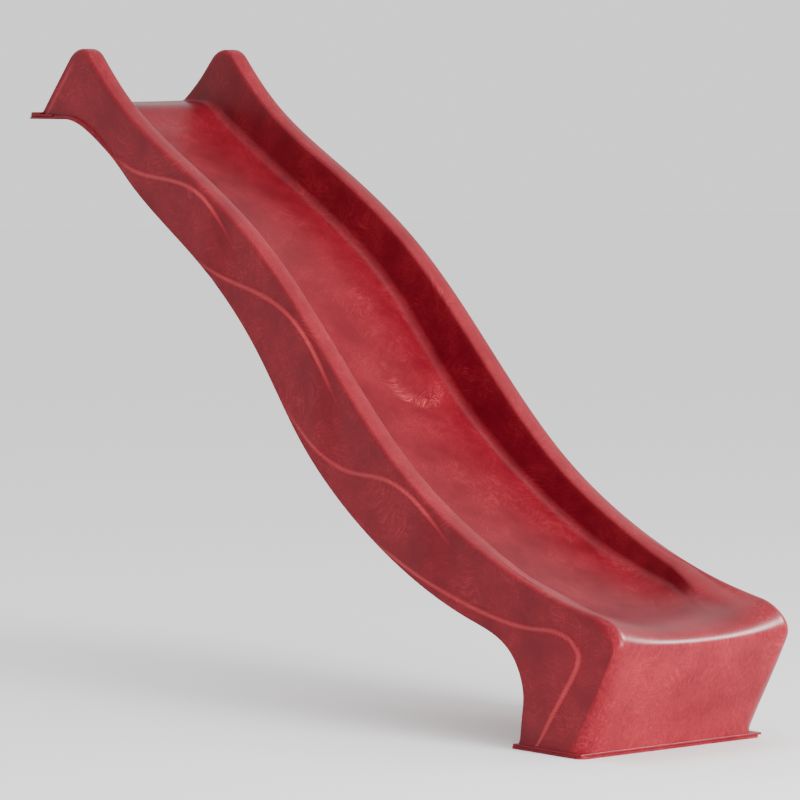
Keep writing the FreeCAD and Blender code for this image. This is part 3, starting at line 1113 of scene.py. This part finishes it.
@dataclass(frozen=True)
class MouldedNylon:
    """Injection-moulded black nylon: matt, with the fine spark-eroded grain of its mould."""

    dark: str = "#17181A"
    light: str = "#25272A"
    grain: float = 0.5
    grain_depth: float = 0.05
    roughness: float = 0.62
    ior: float = 1.53

    def build(self) -> bpy.types.Material:
        """Make the material.

        Returns:
            The material.
        """
        # Black nylon, injection moulded against spark-eroded steel. The real grain is under 0.1 mm, and
        # it is drawn 0.5 mm so that it shows.
        material, tree, place = start_material("moulded_black_nylon")
        grain = add_node(tree, "ShaderNodeTexNoise", {"Vector": place, "Scale": 1 / mm(self.grain),
                                                      "Detail": 2.0}).outputs["Fac"]
        colour = blend(tree, grain, linear(self.dark), linear(self.light))
        bump = add_node(tree, "ShaderNodeBump", {"Height": grain, "Strength": 0.3,
                                                 "Distance": mm(self.grain_depth)})
        shader = add_node(tree, "ShaderNodeBsdfPrincipled", {"Base Color": colour, "IOR": self.ior,
                                                             "Roughness": self.roughness,
                                                             "Normal": bump.outputs[0]})
        add_node(tree, "ShaderNodeOutputMaterial", {"Surface": shader.outputs[0]})
        return material


@dataclass(frozen=True)
class Lamp:
    """One soft round light, in metres and watts, which may be kept to the glossy reflections."""

    name: str
    place: Place
    size: float
    power: float
    aim: Place = (-0.8, 0.0, 0.7)
    gloss_only: bool = False

    def hang(self) -> None:
        """Add it to the scene."""
        light = bpy.data.lights.new(self.name, "AREA")
        light.shape = "DISK"
        light.size = self.size
        light.energy = self.power
        holder = bpy.data.objects.new(self.name, light)
        place = Vector(self.place)
        holder.location = place
        holder.rotation_euler = (Vector(self.aim) - place).to_track_quat("-Z", "Y").to_euler()
        holder.visible_diffuse = not self.gloss_only
        bpy.context.scene.collection.objects.link(holder)


@dataclass
class Studio:
    """Floor, lights and camera, in degrees and metres."""

    azimuth: float = 49.65
    elevation: float = 4.04
    distance: float = 11.506
    roll: float = 0.137
    focal_share: float = 5.786
    sensor: float = 36.0
    farthest: float = 200.0
    target: Place = (-0.864, -0.005, 0.762)
    floor_size: float = 60.0
    floor_gap: float = 0.0005
    floor_colour: str = "#FCFCFC"
    floor_roughness: float = 0.9
    surroundings: float = 1.2
    lamps: tuple[Lamp, ...] = (
        Lamp("key", (5.8, 0.4, 1.5), 2.0, 860),
        Lamp("top", (-0.5, -0.8, 6.0), 2.8, 60),
        Lamp("sheen", (1.3, 1.6, 1.9), 0.8, 300, aim=(0.2, 0.0, 0.3), gloss_only=True),
        Lamp("fill", (0.5, -6.0, 2.0), 4.0, 14),
    )

    def floor(self) -> None:
        """Lay a large pale floor just under the foot."""
        bpy.ops.object.select_all(action="DESELECT")
        bpy.ops.mesh.primitive_plane_add(size=self.floor_size, location=(0, 0, -self.floor_gap))
        floor = bpy.context.active_object
        floor.name = "studio_floor"
        # Pale painted board, rolled on matt so that it takes a soft shadow and no reflection.
        material = bpy.data.materials.new("pale_studio_floor")
        material.use_nodes = True
        shader = material.node_tree.nodes["Principled BSDF"]
        shader.inputs["Base Color"].default_value = linear(self.floor_colour)
        shader.inputs["Roughness"].default_value = self.floor_roughness
        floor.data.materials.append(material)

    def lights(self) -> None:
        """Hang a key at the exit side, a top light, a sheen along the exit roll and a weak fill."""
        for lamp in self.lamps:
            lamp.hang()
        world = bpy.data.worlds.new("studio")
        bpy.context.scene.world = world
        world.use_nodes = True
        background = world.node_tree.nodes["Background"]
        background.inputs["Color"].default_value = (1, 1, 1, 1)
        background.inputs["Strength"].default_value = self.surroundings

    def camera(self) -> None:
        """Set up a long lens, low, between the slide's exit and its right-hand side."""
        a, e = math.radians(self.azimuth), math.radians(self.elevation)
        back = Vector((math.sin(a) * math.cos(e), -math.cos(a) * math.cos(e), math.sin(e)))
        data = bpy.data.cameras.new("camera")
        data.sensor_width = self.sensor
        data.lens = self.sensor * self.focal_share
        data.clip_end = self.farthest
        holder = bpy.data.objects.new("camera", data)
        place = Matrix.Translation(Vector(self.target) + back * self.distance)
        turn = (-back).to_track_quat("-Z", "Y").to_matrix().to_4x4()
        holder.matrix_world = place @ turn @ Matrix.Rotation(math.radians(self.roll), 4, "Z")
        bpy.context.scene.collection.objects.link(holder)
        bpy.context.scene.camera = holder


def dress(finishes: dict[str, bpy.types.Material]) -> None:
    """Give carried-over nodes their finishes.

    Args:
        finishes: Node name to material.
    """
    for name, material in finishes.items():
        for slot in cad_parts[name].material_slots:
            slot.material = material
        log.info("%s: %s", name, material.name)


def main() -> None:
    """Build the slide's looks and report each piece."""
    logging.basicConfig(level=logging.INFO, format="%(name)s: %(message)s")
    studio = Studio()
    studio.camera()
    studio.lights()
    studio.floor()
    red = MouldedHDPE().build()
    skin = Moulding().build()
    skin.data.materials.clear()
    skin.data.materials.append(red)
    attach(skin, "root")
    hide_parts("upper_shell")
    log.info("moulded_skin: %d faces", len(skin.data.polygons))
    dress({"lower_shell": red})
    zinc, nylon = ZincSteel().build(), MouldedNylon().build()
    for side in ("left", "middle", "right"):
        dress({f"deck_screw_{side}": zinc, f"deck_washer_{side}": zinc, f"deck_screw_cap_{side}": nylon})


if __name__ == "__main__":
    main()
